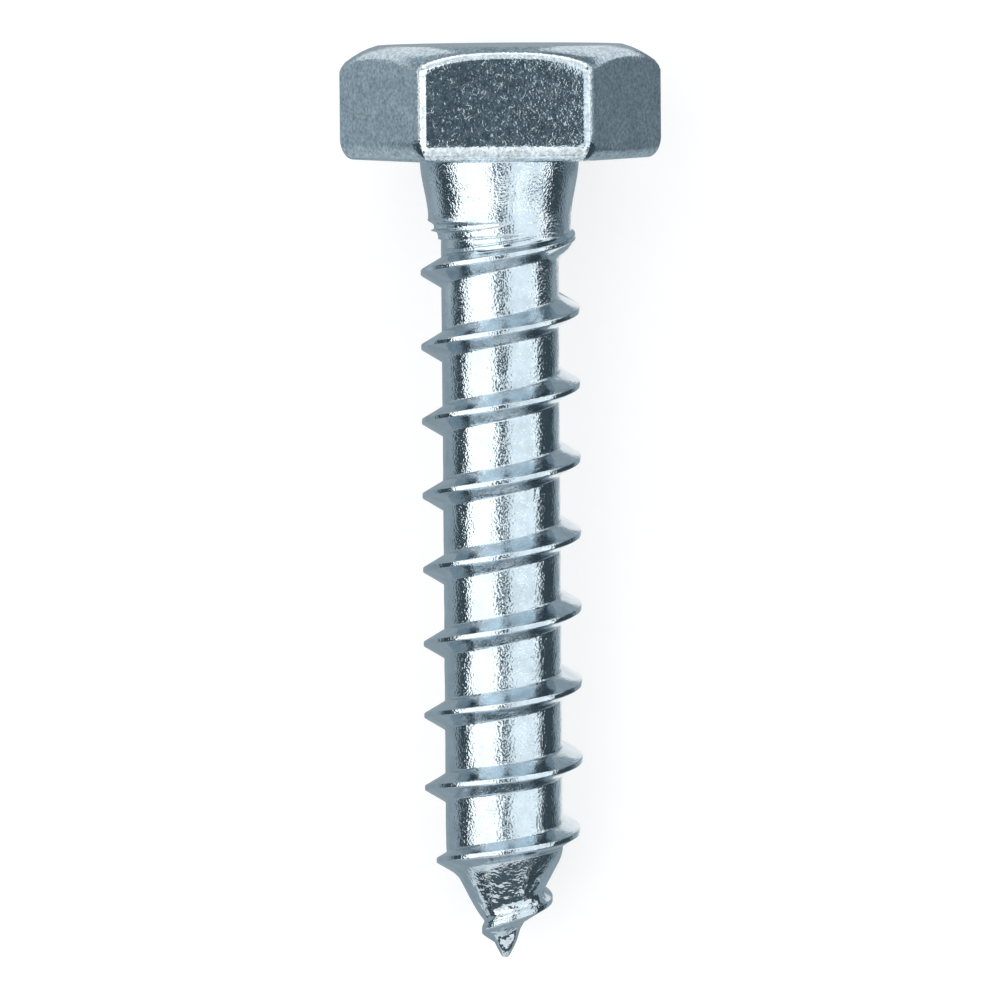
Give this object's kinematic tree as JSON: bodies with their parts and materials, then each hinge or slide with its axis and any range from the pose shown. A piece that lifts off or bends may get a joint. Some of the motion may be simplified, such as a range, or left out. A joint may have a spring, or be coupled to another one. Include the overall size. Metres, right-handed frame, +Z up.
{
  "type": "lag screw",
  "caption": "Zinc plated hex head lag screw with a short shank, coarse wood thread and cone point, lying on its side.",
  "frame": {"origin": "centre of the bounding box at the surface the screw lies on", "axes": "+Y towards the head along the lying screw, +Z up out of the upper wrench flat, +X across it"},
  "size_m": [0.0194, 0.0558, 0.0174],
  "materials": {
    "zinc_steel": "bright zinc plate with a cool tint, smooth on the rolled thread, finely pitted and scratched on the head"
  },
  "bodies": {
    "root": {"lag_screw": "zinc_steel"}
  },
  "joints": []
}
